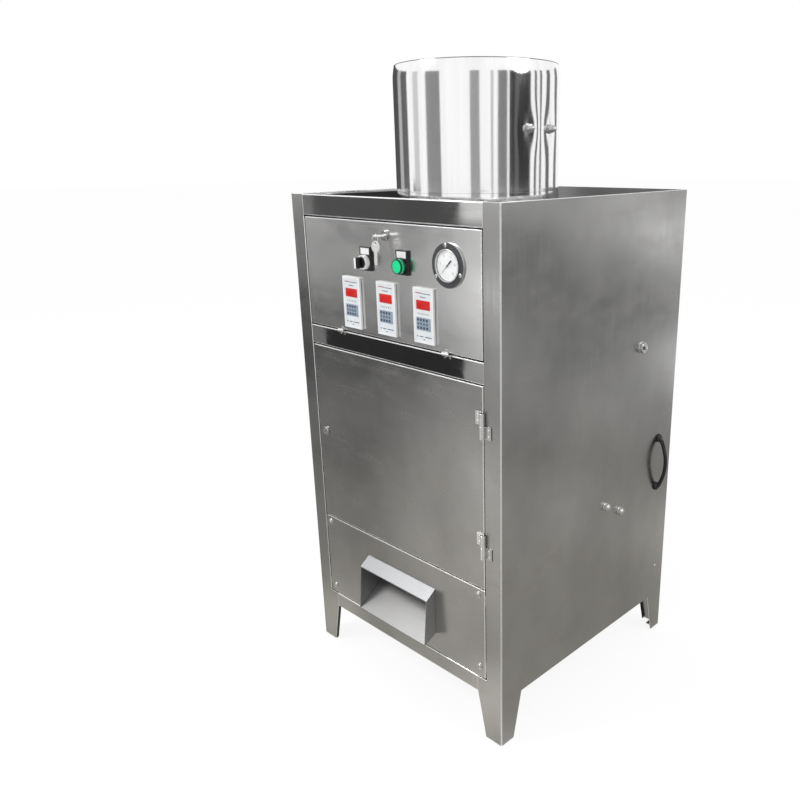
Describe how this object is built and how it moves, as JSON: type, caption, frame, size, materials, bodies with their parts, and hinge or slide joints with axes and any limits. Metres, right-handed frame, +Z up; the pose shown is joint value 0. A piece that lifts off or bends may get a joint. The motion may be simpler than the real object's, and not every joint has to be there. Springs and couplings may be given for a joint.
{
  "type": "garlic peeling machine",
  "caption": "Free-standing peeling machine: folded steel cabinet on legs with a round hopper, a tilting control panel, a hinged door and a sloped outlet chute.",
  "frame": {"origin": "middle of the footprint of the whole machine, on the floor", "axes": "+Z up, the control panel and chute face -Y, +X is to the right of someone facing the panel"},
  "size_m": [0.5778, 0.599, 1.166],
  "materials": {
    "brushed_steel": "brushed satin",
    "polished_steel": "mirror polished stainless steel",
    "chrome": "bright plated",
    "aluminium": "anodised",
    "brass": "turned",
    "black_plastic": "satin black",
    "white_plastic": "satin white",
    "grey_plastic": "satin grey",
    "green_plastic": "gloss",
    "glass": "clear"
  },
  "bodies": {
    "cabinet": {"air_ring": "brushed_steel", "back_panel": "brushed_steel", "base_plate": "brushed_steel", "bottom_front_rail": "brushed_steel", "cable_gland": "black_plastic", "chamber_lid": "brushed_steel", "chamber_pipe": "brushed_steel", "chamber_shelf": "brushed_steel", "chute_floor": "brushed_steel", "chute_hood": "brushed_steel", "discharge_cylinder": "aluminium", "discharge_gate_housing": "brushed_steel", "drum_bolt_front": "polished_steel", "drum_bolt_rear": "polished_steel", "exhaust_duct": "brushed_steel", "feed_cylinder": "aluminium", "feed_gate_housing": "brushed_steel", "filter_regulator": "aluminium", "hopper_cone": "brushed_steel", "hopper_drum": "polished_steel", "left_handle": "black_plastic", "left_side_panel": "brushed_steel", "lower_hinge_post": "chrome", "lower_panel": "brushed_steel", "middle_rail": "brushed_steel", "peeling_chamber": "brushed_steel", "power_supply": "grey_plastic", "right_handle": "black_plastic", "right_side_panel": "brushed_steel", "riser_pipe": "brushed_steel", "side_bolt": "chrome", "supply_pipe": "brass", "top_front_rail": "brushed_steel", "top_tray": "brushed_steel", "upper_hinge_post": "chrome", "valve_manifold": "aluminium"},
    "door": {"door": "brushed_steel", "lower_hinge_leaf": "chrome", "upper_hinge_leaf": "chrome"},
    "door_lock": {"door_lock": "chrome"},
    "control_panel": {"control_panel": "brushed_steel", "timer_1": "white_plastic", "timer_2": "white_plastic", "timer_3": "white_plastic", "selector_base": "black_plastic", "button_base": "black_plastic", "gauge_case": "black_plastic", "gauge_glass": "glass"},
    "panel_lock": {"panel_lock": "chrome", "panel_key": "chrome"},
    "key_ring": {"key_ring": "chrome"},
    "spare_key": {"spare_key": "chrome"},
    "selector": {"selector_knob": "black_plastic"},
    "button": {"green_button": "green_plastic"},
    "needle": {"gauge_needle": "black_plastic"},
    "feed_gate": {"feed_gate": "brushed_steel"},
    "discharge_gate": {"discharge_gate": "brushed_steel"},
    "regulator_knob": {"regulator_knob": "black_plastic"}
  },
  "joints": [
    {"name": "door_swing", "type": "hinge", "parent": "cabinet", "child": "door", "pos_m": [0.228, -0.27525, 0.486], "axis": [0, 0, 1], "range_deg": [0, 170]},
    {"name": "door_lock_turn", "type": "hinge", "parent": "door", "child": "door_lock", "pos_m": [-0.2054, -0.27045, 0.492], "axis": [0, 1, 0], "range_deg": [0, 90]},
    {"name": "control_panel_tilt", "type": "hinge", "parent": "cabinet", "child": "control_panel", "pos_m": [0, -0.27375, 0.7075], "axis": [1, 0, 0], "range_deg": [0, 90]},
    {"name": "panel_lock_turn", "type": "hinge", "parent": "control_panel", "child": "panel_lock", "pos_m": [0.005, -0.27045, 0.8885], "axis": [0, 1, 0], "range_deg": [0, 90]},
    {"name": "key_ring_swing", "type": "hinge", "parent": "panel_lock", "child": "key_ring", "pos_m": [0.005, -0.28765, 0.8885], "axis": [0, 1, 0], "range_deg": [-25, 25]},
    {"name": "spare_key_swing", "type": "hinge", "parent": "key_ring", "child": "spare_key", "pos_m": [0.005, -0.29266, 0.8792], "axis": [0, 1, 0], "range_deg": [-30, 30]},
    {"name": "selector_turn", "type": "hinge", "parent": "control_panel", "child": "selector", "pos_m": [-0.0468, -0.27045, 0.8405], "axis": [0, 1, 0], "range_deg": [-45, 45]},
    {"name": "button_press", "type": "slide", "parent": "control_panel", "child": "button", "axis": [0, 1, 0], "range_m": [0, 0.004], "stiffness_N_per_m": 300},
    {"name": "gauge_needle_turn", "type": "hinge", "parent": "control_panel", "child": "needle", "pos_m": [0.156, -0.27045, 0.851], "axis": [0, 1, 0], "range_deg": [0, 270]},
    {"name": "feed_gate_slide", "type": "slide", "parent": "cabinet", "child": "feed_gate", "axis": [-1, 0, 0], "range_m": [0, 0.071]},
    {"name": "discharge_gate_slide", "type": "slide", "parent": "cabinet", "child": "discharge_gate", "axis": [-1, 0, 0], "range_m": [0, 0.071]},
    {"name": "regulator_knob_turn", "type": "hinge", "parent": "cabinet", "child": "regulator_knob", "pos_m": [0.2, 0.05155, 0.3798], "axis": [0, 0, 1], "range_deg": [-360, 360]}
  ]
}
